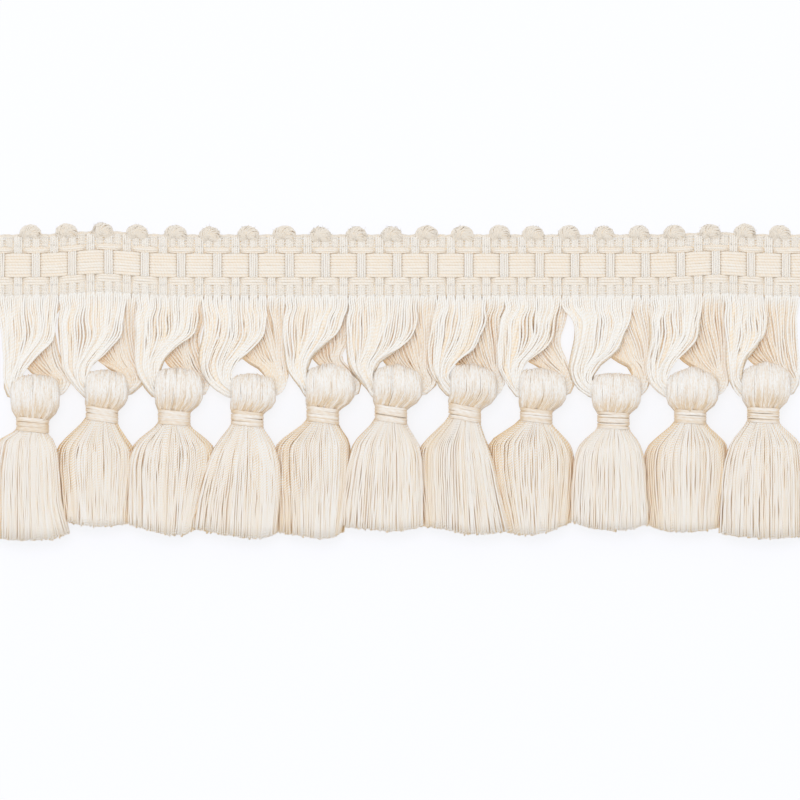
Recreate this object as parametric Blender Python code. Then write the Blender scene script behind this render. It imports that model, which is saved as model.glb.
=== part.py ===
"""Tassel fringe trim, a cut length lying face up on a flat surface.

A woven heading carries a scalloped gimp cord on its upper edge. Its weft yarns run on below its lower edge
as crossed loops, gathered here in locks, and each group of loops hangs in the eye of one tassel, which is
folded over the loops and bound with a thread.

The frame: +X runs along the trim, +Y across it towards the gimp cord, +Z up from the surface. The origin is
the middle of the heading's flat back. Lengths below are in millimetres, and each finished mesh is scaled to
metres.
"""

import math
from collections import namedtuple

import bmesh
import bpy

MM = 0.001
GAP = 0.3

# The heading: one wide ribbon between two narrow ones and two lands, with a flat back. Each ribbon's edges
# slope from its outer to its inner place, and its floats dip where a bar of weft crosses over them.
TRIM_LENGTH = 195.4
HEADING_TOP = 6.6
HEADING_BOTTOM = -7.4
NARROW_OUTER_EDGE = (4.8, 4.4)
WIDE_EDGE = (3.0, 2.6)
REPEAT = 8.62
FIRST_CROSSING = -96.0
LAND_HEIGHT = 1.3
NARROW_FLOAT_HEIGHT = 1.9
WIDE_FLOAT_HEIGHT = 2.25
CROSSING_DIP = 0.5

# The gimp cord: humps over the heading's upper edge, joined by a low run. The left end is cut through a hump.
# Each section, at a share of the repeat from the hump's middle, has its top and half its depth.
HUMP_SHIFT = -1.05
HUMP_SECTIONS = {0.36: (7.9, 0.65), 0.29: (9.4, 1.0), 0.11: (10.4, 1.25)}
CORD_BOTTOM = HEADING_TOP + GAP + 0.05

# The loops: eight roots a tassel, one for each front end and one for each back end of four locks.
TASSEL_COUNT = 11
TASSEL_PITCH = 17.6
LOCKS_PER_TASSEL = 4
ROOT_PITCH = TASSEL_PITCH / (2 * LOCKS_PER_TASSEL)
STRIP_TOP = HEADING_BOTTOM - GAP
STRIP_BOTTOM = -8.9
STRIP_HEIGHT = 1.6
ROOT_INSET = 0.18
LOCK_THICKNESS = 0.9
LOCK_MOST_WIDTH = 2.0
SETTLE_LENGTH = 7.0

# The tassel: a flattened head with an eye for the loops, a neck under the binding, and a skirt of locks.
# Each section of its body has half its width and half its depth.
BODY_HEIGHT = 3.7
CORNER = 0.47
EYE_TOP = -27.2
EYE_BOTTOM = -30.8
HEAD_SECTIONS = ((-25.2, 4.4, 1.9), (-26.1, 5.1, 3.1), (EYE_TOP, 5.4, 3.5), (EYE_BOTTOM, 5.2, 3.5))
HEAD_FOOT = (4.0, 3.2)
NECK = (3.3, 2.7)
TIE_LENGTH = 4.1
TIE_THICKNESS = {0.0: 0.35, 0.25: 0.5, 0.5: 0.35, 0.75: 0.5, 1.0: 0.35}
SKIRT_COLUMNS = 7
SKIRT_CUTS = (0.72, CORNER, 0.16)
SKIRT_INSET = 0.12
SKIRT_ROUNDING = 0.72
FLARE_LENGTH = 6.5
FLARE_HALF_WIDTH = 7.5
FLARE_LEAN = 0.3
FLARE_DEPTH = 6.9
HEM_HALF_WIDTH = 8.8
HEM_DEPTH = 5.4
HEM_STEPS = (0.0, -0.5, 0.2, -0.3, 0.4, -0.2, 0.1)

# One row a tassel: the shift of its middle from an even spacing, the top of its binding, the lowest of its
# skirt, and the sides of its hem from its own middle.
Tassel = namedtuple("Tassel", "shift tie_top hem left right")
TASSELS = (
    Tassel(-0.7, -36.0, -65.2, -9.0, 7.9),
    Tassel(-1.6, -33.8, -62.4, -8.3, 6.0),
    Tassel(-1.8, -34.5, -64.5, -11.0, 5.8),
    Tassel(-1.8, -34.6, -65.4, -11.2, 7.0),
    Tassel(-1.2, -33.5, -64.7, -10.7, 4.2),
    Tassel(-2.4, -33.5, -62.9, -12.0, 7.8),
    Tassel(-2.2, -33.4, -64.5, -9.5, 9.1),
    Tassel(-2.6, -34.1, -64.5, -8.0, 8.8),
    Tassel(-1.6, -35.2, -63.4, -9.6, 8.3),
    Tassel(-0.7, -34.3, -63.7, -10.0, 7.4),
    Tassel(-0.7, -34.1, -65.4, -10.1, 10.3),
)

# One row a bend of a group of locks, from the front roots through the eye to the back roots. Outer and inner
# are the sides of the whole group, from the tassel's middle. Stack brings the locks two and two into one
# place, and split parts each two in height.
Bend = namedtuple("Bend", "outer_x outer_y inner_x inner_y height split stack")
BENDS = (
    Bend(-9.9, -11.4, 7.6, -11.4, 1.9, 0.0, 0.0),
    Bend(-10.2, -15.8, 5.8, -15.8, 2.9, 0.0, 0.0),
    Bend(-11.0, -19.4, 3.4, -18.6, 3.2, 0.0, 0.0),
    Bend(-11.2, -22.6, -1.2, -21.0, 3.3, 0.0, 0.0),
    Bend(-10.0, -26.4, -5.0, -23.8, 3.8, 0.5, 0.0),
    Bend(-8.0, -29.2, -6.2, -26.6, 3.8, 0.65, 1.0),
    Bend(-6.2, -30.6, -5.9, -27.4, 3.7, 0.65, 1.0),
    Bend(6.2, -30.6, 5.9, -27.4, 3.7, 0.65, 1.0),
    Bend(7.8, -29.4, 6.2, -27.0, 3.0, 0.65, 1.0),
    Bend(8.5, -26.6, 5.4, -24.8, 1.25, 0.5, 0.0),
    Bend(8.7, -21.4, 0.8, -20.0, 0.85, 0.0, 0.0),
    Bend(9.9, -11.4, -7.6, -11.4, 0.55, 0.0, 0.0),
)

Wave = namedtuple("Wave", "x reach rise")
WAVES = (Wave(-72.0, 9.0, 0.9), Wave(76.0, 8.0, 0.6))

YARN = (0.90, 0.82, 0.71)
GIMP = (0.82, 0.75, 0.66)


def blend(first, last, share):
    return first + (last - first) * share


def lift(x):
    """How far the heading rides up at x: it lies in two slight waves."""
    return sum(wave.rise * math.exp(-(((x - wave.x) / wave.reach) ** 2)) for wave in WAVES)


def repeats(start, phases):
    """Each place along the trim that lies at one of these phases of the weave's repeat, with its phase."""
    count = math.ceil(TRIM_LENGTH / REPEAT) + 1
    found = [(start + REPEAT * (n + phase), phase) for n in range(-1, count) for phase in phases]
    return [(x, phase) for x, phase in found if abs(x) < TRIM_LENGTH / 2 - GAP]


def draw_out(bm, face, points):
    """Extrudes one face and puts its corners, in their order, at these points."""
    drawn = bmesh.ops.extrude_discrete_faces(bm, faces=[face])["faces"][0]
    for vert, point in zip(drawn.verts, points):
        vert.co = point
    return drawn


def loft(bm, rings):
    """A closed body drawn out through rings of points. Returns its two end faces."""
    first = [bm.verts.new(point) for point in rings[0]]
    last = bm.faces.new(first)
    for ring in rings[1:]:
        last = draw_out(bm, last, ring)
    return bm.faces.new(first[::-1]), last


def join_faces(bm, first, last):
    """Takes away two faces and joins their rims, as a tunnel or as the end of a lock."""
    rims = list(first.edges) + list(last.edges)
    bmesh.ops.delete(bm, geom=[first, last], context="FACES_ONLY")
    bmesh.ops.bridge_loops(bm, edges=rims)


def close_behind(bm, move):
    """Draws the open rim of a surface back with move, and closes it there with one flat face."""
    rim = [edge for edge in bm.edges if edge.is_boundary]
    drawn = bmesh.ops.extrude_edge_only(bm, edges=rim)["geom"]
    for vert in drawn:
        if isinstance(vert, bmesh.types.BMVert):
            vert.co = move(vert.co)
    back = [edge for edge in drawn if isinstance(edge, bmesh.types.BMEdge)]
    bmesh.ops.contextual_create(bm, geom=back)


def make_material(name, color, roughness):
    material = bpy.data.materials.new(name)
    material.use_nodes = True
    shader = material.node_tree.nodes["Principled BSDF"]
    shader.inputs["Base Color"].default_value = (*color, 1.0)
    shader.inputs["Roughness"].default_value = roughness
    shader.inputs["Metallic"].default_value = 0.0
    return material


def make_object(name, bm, material, parent, x=0.0):
    """Scales a finished mesh to metres and puts it in the scene as one object."""
    bmesh.ops.recalc_face_normals(bm, faces=bm.faces)
    bmesh.ops.scale(bm, vec=(MM, MM, MM), verts=bm.verts)
    mesh = bpy.data.meshes.new(name)
    bm.to_mesh(mesh)
    bm.free()
    mesh.materials.append(material)
    made = bpy.data.objects.new(name, mesh)
    made.location.x = x * MM
    made.parent = parent
    bpy.context.scene.collection.objects.link(made)


def float_height(top, phase, crossing_phase):
    """The height of a ribbon, which dips where a bar of weft crosses over it."""
    return top - CROSSING_DIP if phase == crossing_phase else top


def heading_heights(phase):
    """The heading's section from its lower to its upper edge, as places across it and their heights."""
    wide = float_height(WIDE_FLOAT_HEIGHT, phase, 0.0)
    narrow = float_height(NARROW_FLOAT_HEIGHT, phase, 0.5)
    return (
        (HEADING_BOTTOM, LAND_HEIGHT),
        (-NARROW_OUTER_EDGE[0], LAND_HEIGHT),
        (-NARROW_OUTER_EDGE[1], narrow),
        (-WIDE_EDGE[0], narrow),
        (-WIDE_EDGE[1], wide),
        (WIDE_EDGE[1], wide),
        (WIDE_EDGE[0], narrow),
        (NARROW_OUTER_EDGE[1], narrow),
        (NARROW_OUTER_EDGE[0], LAND_HEIGHT),
        (HEADING_TOP, LAND_HEIGHT),
    )


def make_heading(material, parent):
    ends = TRIM_LENGTH / 2
    columns = [(-ends, 0.25)] + repeats(FIRST_CROSSING, (0.0, 0.17, 0.5, 0.83)) + [(ends, 0.25)]
    rows = len(heading_heights(0.0))
    bm = bmesh.new()
    bmesh.ops.create_grid(bm, x_segments=len(columns) - 1, y_segments=rows - 1, size=0.5)
    for vert in bm.verts:
        x, phase = columns[round((vert.co.x + 0.5) * (len(columns) - 1))]
        y, height = heading_heights(phase)[round((vert.co.y + 0.5) * (rows - 1))]
        vert.co = (x, y + lift(x), height)
    close_behind(bm, lambda point: (point.x, point.y, 0.0))
    make_object("heading", bm, material, parent)


def cord_ring(x, top, half_depth):
    """A six-sided section of the gimp cord, just above the surface."""
    middle = (CORD_BOTTOM + top) / 2
    half_height = (top - CORD_BOTTOM) / 2
    sides = ((-1.0, 0.6), (-1.0, -0.6), (0.0, -1.0), (1.0, -0.5), (1.0, 0.5), (0.0, 1.0))
    return [(x, middle + up * half_height + lift(x), half_depth * (1.04 + out)) for up, out in sides]


def make_picot_edge(material, parent):
    ends = TRIM_LENGTH / 2
    foot, shoulder, crown = HUMP_SECTIONS
    rings = [cord_ring(-ends, *HUMP_SECTIONS[crown])]
    for x, phase in repeats(FIRST_CROSSING + HUMP_SHIFT, (-foot, -shoulder, -crown, crown, shoulder, foot)):
        rings.append(cord_ring(x, *HUMP_SECTIONS[abs(phase)]))
    rings.append(cord_ring(ends, *HUMP_SECTIONS[foot]))
    bm = bmesh.new()
    loft(bm, rings)
    make_object("picot_edge", bm, material, parent)


def group_middle(index):
    return (index - (TASSEL_COUNT - 1) / 2) * TASSEL_PITCH


def tassel_middle(index):
    return group_middle(index) + TASSELS[index].shift


def room_beside(index, side):
    """The distance to the next tassel on one side, as a share of an even spacing."""
    neighbour = index + side
    if not 0 <= neighbour < TASSEL_COUNT:
        return 1.0
    return abs(tassel_middle(neighbour) - tassel_middle(index)) / TASSEL_PITCH


def lock_section(index, lock, bend):
    """The corners of one lock at one bend, keyed by whether they are inner and whether they are upper."""
    even = (lock + 0.5) / LOCKS_PER_TASSEL
    paired = 0.25 if lock < 2 else 0.75
    across = blend(even, paired, bend.stack)
    run_x = bend.inner_x - bend.outer_x
    run_y = bend.inner_y - bend.outer_y
    run = math.hypot(run_x, run_y)
    room = run * blend(1 / LOCKS_PER_TASSEL, 2 / LOCKS_PER_TASSEL, bend.stack)
    half_width = min(room - GAP, LOCK_MOST_WIDTH) / (2 * run)
    settled = min(1.0, (STRIP_BOTTOM - bend.outer_y) / SETTLE_LENGTH)
    middle = blend(group_middle(index), tassel_middle(index), settled)
    reach = blend(1.0, room_beside(index, 1 if bend.outer_x > 0 else -1), settled)
    height = bend.height + (bend.split if lock % 2 else -bend.split)
    corners = {}
    for inner in (False, True):
        share = across + (half_width if inner else -half_width)
        x = middle + (bend.outer_x + run_x * share) * reach
        y = bend.outer_y + run_y * share
        for upper in (False, True):
            z = height + (LOCK_THICKNESS / 2 if upper else -LOCK_THICKNESS / 2)
            corners[inner, upper] = (x, y, z)
    return corners


def make_loop_fringe(material, parent):
    """A narrow strip below the heading, and the locks that leave it, cross and come back to it."""
    cells = TASSEL_COUNT * 2 * LOCKS_PER_TASSEL
    bm = bmesh.new()
    bmesh.ops.create_grid(bm, x_segments=cells, y_segments=1, size=0.5)
    for vert in bm.verts:
        x = vert.co.x * cells * ROOT_PITCH
        vert.co = (x, STRIP_BOTTOM + lift(x), (vert.co.y + 0.5) * STRIP_HEIGHT)
    roots = sorted(bm.faces, key=lambda face: face.calc_center_median().x)
    close_behind(bm, lambda point: (point.x, STRIP_TOP + lift(point.x), point.z))
    bmesh.ops.recalc_face_normals(bm, faces=bm.faces)
    bmesh.ops.inset_individual(bm, faces=roots, thickness=ROOT_INSET)
    for index in range(TASSEL_COUNT):
        group = roots[index * 2 * LOCKS_PER_TASSEL : (index + 1) * 2 * LOCKS_PER_TASSEL]
        for lock in range(LOCKS_PER_TASSEL):
            end = group[2 * lock]
            middle = end.calc_center_median()
            places = [(vert.co.x > middle.x, vert.co.z > middle.z) for vert in end.verts]
            for bend in BENDS:
                section = lock_section(index, lock, bend)
                end = draw_out(bm, end, [section[place] for place in places])
            join_faces(bm, end, group[-1 - 2 * lock])
    make_object("loop_fringe", bm, material, parent)


def body_ring(y, half_width, half_depth):
    """An eight-sided section of a tassel's body, with one side facing each way along X."""
    corners = (
        (1, -CORNER), (1, CORNER), (CORNER, 1), (-CORNER, 1),
        (-1, CORNER), (-1, -CORNER), (-CORNER, -1), (CORNER, -1),
    )
    return [(a * half_width, y, BODY_HEIGHT + b * half_depth) for a, b in corners]


def facing(bm, direction, low, high):
    """The faces that look in a direction and lie between two values of Y."""
    return [
        face
        for face in bm.faces
        if face.normal.dot(direction) > 0.9 and low < face.calc_center_median().y < high
    ]


def skirt_section(column, upper_layer, left, right, depth, y):
    """The corners of one skirt lock, keyed by whether they lie to the right and whether they are upper."""
    corners = {}
    width = (right - left) / SKIRT_COLUMNS
    for to_right in (False, True):
        x = left + width * (column + to_right) + (-GAP / 2 if to_right else GAP / 2)
        off_middle = 2 * (x - left) / (right - left) - 1
        top = depth * math.sqrt(1 - SKIRT_ROUNDING * off_middle**2)
        low, high = (top / 2 + GAP / 2, top) if upper_layer else (0.0, top / 2 - GAP / 2)
        corners[to_right, False] = (x, y, low)
        corners[to_right, True] = (x, y, high)
    return corners


def cut_cells(bm, end_y):
    """Cuts the neck's lower end into two rows of cells, and returns them from left to right."""
    planes = [((side * cut * NECK[0], 0, 0), (1, 0, 0)) for cut in SKIRT_CUTS for side in (-1, 1)]
    planes.append(((0, 0, BODY_HEIGHT), (0, 0, 1)))
    for place, direction in planes:
        cut_through = set()
        for cell in facing(bm, (0, -1, 0), end_y - GAP, end_y + 0.01):
            cut_through.update([cell, *cell.edges, *cell.verts])
        bmesh.ops.bisect_plane(bm, geom=list(cut_through), dist=0.001, plane_co=place, plane_no=direction)
        bm.normal_update()
    cells = facing(bm, (0, -1, 0), end_y - GAP, end_y + 0.01)
    return sorted(cells, key=lambda face: face.calc_center_median().x)


def draw_skirt(bm, tassel, end_y):
    """Draws each cell of the neck's end out as a lock that flares, then lies level."""
    cells = cut_cells(bm, end_y)
    bmesh.ops.inset_individual(bm, faces=cells, thickness=SKIRT_INSET)
    flare_y = end_y - FLARE_LENGTH
    flare_left = -FLARE_HALF_WIDTH + FLARE_LEAN * (tassel.left + HEM_HALF_WIDTH)
    flare_right = FLARE_HALF_WIDTH + FLARE_LEAN * (tassel.right - HEM_HALF_WIDTH)
    for number, cell in enumerate(cells):
        column = number // 2
        middle = cell.calc_center_median()
        upper_layer = middle.z > BODY_HEIGHT
        places = [(vert.co.x > middle.x, vert.co.z > middle.z) for vert in cell.verts]
        hem_y = tassel.hem - HEM_STEPS[number % len(HEM_STEPS)]
        flare = skirt_section(column, upper_layer, flare_left, flare_right, FLARE_DEPTH, flare_y)
        hem = skirt_section(column, upper_layer, tassel.left, tassel.right, HEM_DEPTH, hem_y)
        end = draw_out(bm, cell, [flare[place] for place in places])
        draw_out(bm, end, [hem[place] for place in places])


def make_tassel(index, material, parent):
    tassel = TASSELS[index]
    neck_end = tassel.tie_top - TIE_LENGTH - GAP
    rings = [body_ring(*section) for section in HEAD_SECTIONS]
    rings.append(body_ring(tassel.tie_top + GAP + 0.1, *HEAD_FOOT))
    rings.append(body_ring(tassel.tie_top + GAP, *NECK))
    rings.append(body_ring(neck_end, *NECK))
    bm = bmesh.new()
    loft(bm, rings)
    bmesh.ops.recalc_face_normals(bm, faces=bm.faces)
    (left,) = facing(bm, (-1, 0, 0), EYE_BOTTOM, EYE_TOP)
    (right,) = facing(bm, (1, 0, 0), EYE_BOTTOM, EYE_TOP)
    join_faces(bm, left, right)
    bm.normal_update()
    draw_skirt(bm, tassel, neck_end)
    make_object(f"tassel_{index + 1:02}", bm, material, parent, tassel_middle(index))


def make_tie(index, material, parent):
    """The binding thread's turns round the neck, as one ridged ring."""
    top = TASSELS[index].tie_top
    rings = [
        body_ring(top - share * TIE_LENGTH, NECK[0] + GAP + thickness, NECK[1] + GAP + thickness)
        for share, thickness in TIE_THICKNESS.items()
    ]
    bm = bmesh.new()
    ends = loft(bm, rings)
    bmesh.ops.recalc_face_normals(bm, faces=bm.faces)
    bmesh.ops.inset_individual(bm, faces=list(ends), thickness=TIE_THICKNESS[0.0])
    join_faces(bm, *ends)
    make_object(f"tie_{index + 1:02}", bm, material, parent, tassel_middle(index))


def main():
    for old in list(bpy.data.objects):
        bpy.data.objects.remove(old)
    trim = bpy.data.objects.new("tassel_fringe_trim", None)
    bpy.context.scene.collection.objects.link(trim)
    make_heading(make_material("woven_tape", YARN, 0.75), trim)
    make_picot_edge(make_material("gimp_cord", GIMP, 0.9), trim)
    make_loop_fringe(make_material("loop_yarn", YARN, 0.6), trim)
    tassel_yarn = make_material("tassel_yarn", YARN, 0.5)
    tie_thread = make_material("tie_thread", YARN, 0.65)
    for index in range(TASSEL_COUNT):
        make_tassel(index, tassel_yarn, trim)
        make_tie(index, tie_thread, trim)


main()
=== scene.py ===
"""Tassel fringe trim, dressed: a flat-laid cut length of woven heading with a gimp edge, whose weft runs on
as crossed loops that carry eleven bound tassels.

Lengths are in millimetres until a piece is finished, and then scaled to metres. +X runs along the trim, +Y
across it towards the gimp cord and +Z up from the surface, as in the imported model.
"""

import math
from collections import namedtuple

import bmesh
import bpy
import numpy as np
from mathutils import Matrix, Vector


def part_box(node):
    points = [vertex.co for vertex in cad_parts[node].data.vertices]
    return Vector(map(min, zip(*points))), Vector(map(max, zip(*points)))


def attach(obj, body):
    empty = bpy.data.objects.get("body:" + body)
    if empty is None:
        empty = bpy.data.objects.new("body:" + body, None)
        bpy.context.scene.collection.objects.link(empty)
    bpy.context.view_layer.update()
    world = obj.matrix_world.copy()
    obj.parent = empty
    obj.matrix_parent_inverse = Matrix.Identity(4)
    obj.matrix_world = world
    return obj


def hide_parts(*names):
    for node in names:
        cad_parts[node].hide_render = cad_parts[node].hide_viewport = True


bl_info = {
    "name": "Tassel Fringe Trim",
    "version": (1, 0, 0),
    "blender": (4, 5, 0),
    "location": "3D View > Sidebar > Trim",
    "description": "Weaves, loops and binds a flat-laid length of tassel fringe",
    "category": "Add Mesh",
}

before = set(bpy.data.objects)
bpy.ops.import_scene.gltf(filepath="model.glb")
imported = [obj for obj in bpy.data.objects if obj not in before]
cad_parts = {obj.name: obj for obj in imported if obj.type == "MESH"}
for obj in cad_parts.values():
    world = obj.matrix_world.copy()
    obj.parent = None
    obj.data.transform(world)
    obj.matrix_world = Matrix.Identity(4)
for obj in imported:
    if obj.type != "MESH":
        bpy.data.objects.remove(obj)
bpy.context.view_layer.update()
MM = 0.001
TRIM_HALF_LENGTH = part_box("heading")[1].x / MM - 0.1
GROUND_HALF_LENGTH = TRIM_HALF_LENGTH - 0.2
GROUND_WIDTH = 13.9

# The weave: bars of four weft yarns, with every fourth bar over the wide ribbon and the bars halfway between
# them over the two narrow ribbons. A ribbon has a lower and an upper edge and a number of yarns. Thin warps
# bind the lands above and below.
FIRST_BAR = -96.4
BAR_PITCH = 2.1535
BAR_COUNT = 90
BAR_DRIFT = 1.0
YARNS_PER_BAR = 4
WEFT_PITCH = 0.46
WIDE_RIBBON = (-2.36, 2.56, 8)
NARROW_RIBBONS = ((3.3, 4.2, 3), (-4.3, -3.0, 3))
UPPER_WARPS = (4.95, 5.62, 6.29, 6.86)
LOWER_WARPS = (-5.05, -5.7, -6.35, -6.95)
HEADING_FOOT = -7.3
WIDE_HEIGHT, NARROW_HEIGHT, LAND_HEIGHT, UNDER_HEIGHT = 1.95, 1.64, 1.08, 0.5

# The slight waves in which the heading lies: where, how far along it, and how far it rides up.
Wave = namedtuple("Wave", "x reach rise")
WAVES = (Wave(-72.0, 9.0, 0.9), Wave(76.0, 8.0, 0.6))

# The tassels, one row each: the middle, the top of the binding, how far it climbs to the right, its length
# and its turns, the head's fold at the left, middle and right, and the head's sides from the middle.
Tassel = namedtuple("Tassel", "middle tie slope length turns fold_left fold fold_right left right")
TASSELS = (
    Tassel(-88.7, -36.7, -0.75, 3.3, 3, -26.8, -26.1, -26.8, -5.0, 6.6),
    Tassel(-72.0, -34.1, -1.2, 3.4, 4, -25.4, -25.1, -25.9, -3.7, 6.4),
    Tassel(-54.6, -34.8, -0.5, 3.5, 4, -25.0, -24.5, -25.5, -4.4, 7.0),
    Tassel(-37.0, -35.0, -0.75, 3.5, 4, -26.3, -25.9, -26.8, -3.7, 7.0),
    Tassel(-18.8, -34.1, -0.95, 3.7, 4, -24.5, -23.5, -25.0, -3.8, 7.6),
    Tassel(-2.4, -33.8, -1.1, 3.9, 5, -24.5, -23.6, -25.2, -4.0, 7.6),
    Tassel(15.4, -33.7, -1.6, 3.5, 4, -24.0, -23.6, -25.2, -3.2, 7.8),
    Tassel(32.6, -34.5, -0.85, 3.2, 4, -24.9, -24.7, -25.9, -3.9, 7.4),
    Tassel(51.2, -35.3, -0.4, 3.9, 6, -26.1, -25.9, -26.4, -5.0, 6.8),
    Tassel(69.7, -34.7, -0.4, 3.3, 5, -26.1, -24.2, -26.0, -5.5, 6.8),
    Tassel(87.3, -34.1, -0.4, 3.6, 5, -24.6, -23.0, -24.5, -5.0, 6.6),
)
BODY_HEIGHT = 3.7
TIE_HALF_WIDTH = 4.0
TIE_SHIFT = 0.2

# The loops. Each group's front layer leaves the heading between two places and sweeps down and to the left,
# with its outer edge at five heights and its inner edge through five points, from the tassel's middle. Crease
# is where across the layer it parts, and gap how far, in tenths of its width.
Front = namedtuple("Front", "first last outer inner crease gap")
OUTER_HEIGHTS = (-13.0, -17.0, -21.5, -25.3, -28.8)
FRONTS = (
    Front(-97.6, -82.5, (-8.2, -7.4, -6.5, -6.4, -6.2),
          ((6.0, -13.4), (5.1, -17.8), (1.0, -21.7), (-1.8, -24.6), (-3.4, -27.6)), 0.5, 0.15),
    Front(-82.0, -65.8, (-10.3, -9.6, -8.9, -8.5, -6.3),
          ((5.6, -13.4), (4.6, -16.8), (0.6, -21.0), (-2.3, -23.7), (-3.8, -27.2)), 0.35, 0.3),
    Front(-63.7, -48.5, (-9.6, -9.1, -8.8, -8.4, -6.6),
          ((6.1, -12.4), (5.1, -16.1), (1.0, -19.0), (-2.4, -21.9), (-4.0, -25.6)), 0.5, 0.2),
    Front(-48.0, -31.8, (-10.2, -10.3, -11.2, -10.9, -8.3),
          ((5.2, -12.4), (4.7, -16.8), (1.3, -20.5), (-1.6, -22.6), (-3.8, -26.2)), 0.25, 0.3),
    Front(-28.0, -12.5, (-9.3, -9.2, -8.6, -8.1, -5.6),
          ((4.9, -12.8), (3.4, -16.2), (0.6, -18.4), (-2.6, -21.6), (-4.0, -25.6)), 0.35, 0.3),
    Front(-12.4, 4.1, (-10.0, -10.0, -9.8, -8.9, -5.9),
          ((6.2, -13.2), (5.0, -17.0), (2.2, -19.8), (-2.4, -22.6), (-4.0, -26.0)), 0.2, 0.2),
    Front(8.4, 20.8, (-7.6, -7.7, -8.3, -8.0, -6.1),
          ((5.2, -13.2), (3.8, -16.4), (1.8, -20.2), (-1.5, -22.8), (-3.4, -26.0)), 0.45, 0.45),
    Front(25.3, 38.4, (-8.5, -8.4, -8.4, -8.2, -6.2),
          ((5.0, -12.9), (4.2, -17.0), (1.8, -19.8), (-2.2, -22.8), (-3.9, -26.0)), 0.42, 0.5),
    Front(38.6, 56.2, (-10.1, -9.6, -10.0, -10.1, -8.5),
          ((4.5, -13.6), (3.0, -16.8), (1.2, -20.2), (-3.2, -23.4), (-5.4, -27.0)), 0.6, 0.3),
    Front(60.6, 73.1, (-9.3, -8.8, -9.5, -9.9, -8.6),
          ((3.0, -12.6), (2.2, -16.9), (-0.4, -19.9), (-3.6, -22.8), (-5.6, -26.8)), 0.3, 0.3),
    Front(78.4, 88.6, (-8.9, -8.7, -8.4, -8.0, -7.1),
          ((1.3, -12.5), (1.0, -16.4), (-1.2, -19.2), (-3.9, -21.9), (-5.2, -25.6)), 0.35, 0.3),
)

# Its back layer passes behind to the lower right. Last is where it ends along the heading, reach is its right
# edge at five heights, and fan is two points on the lowest strands where they come out from behind the front.
Back = namedtuple("Back", "last reach fan")
REACH_HEIGHTS = (-13.0, -18.0, -22.0, -25.0, -28.0)
FIRST_ROOT, LAST_ROOT = -97.6, 96.5
BACKS = (
    Back(-81.8, (5.7, 6.2, 6.9, 7.8, 8.9), ((-1.5, -24.2), (2.0, -27.0))),
    Back(-62.5, (9.0, 8.6, 8.8, 9.4, 9.9), ((0.3, -23.4), (3.9, -25.5))),
    Back(-47.6, (7.3, 5.9, 6.7, 7.3, 8.6), ((-2.0, -22.4), (0.4, -24.8))),
    Back(-26.5, (9.7, 9.5, 9.6, 9.7, 9.6), ((-0.4, -22.5), (2.9, -24.4))),
    Back(-11.5, (7.2, 6.8, 4.8, 6.6, 8.6), ((-1.8, -22.8), (1.4, -25.2))),
    Back(9.5, (10.9, 10.9, 10.3, 10.3, 10.9), ((-1.2, -23.4), (1.6, -25.6))),
    Back(26.0, (9.4, 9.2, 9.0, 9.2, 9.8), ((-1.6, -23.6), (1.0, -25.4))),
    Back(40.5, (7.1, 5.7, 7.3, 8.8, 9.5), ((-2.2, -22.6), (0.3, -24.2))),
    Back(61.5, (9.9, 10.0, 9.7, 9.3, 9.1), ((0.2, -22.0), (3.8, -23.9))),
    Back(79.5, (9.2, 9.3, 9.4, 9.4, 9.5), ((-2.0, -22.0), (0.4, -23.8))),
    Back(98.0, (8.8, 8.6, 8.6, 8.4, 8.5), ((-2.4, -22.8), (0.8, -25.0))),
)

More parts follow.
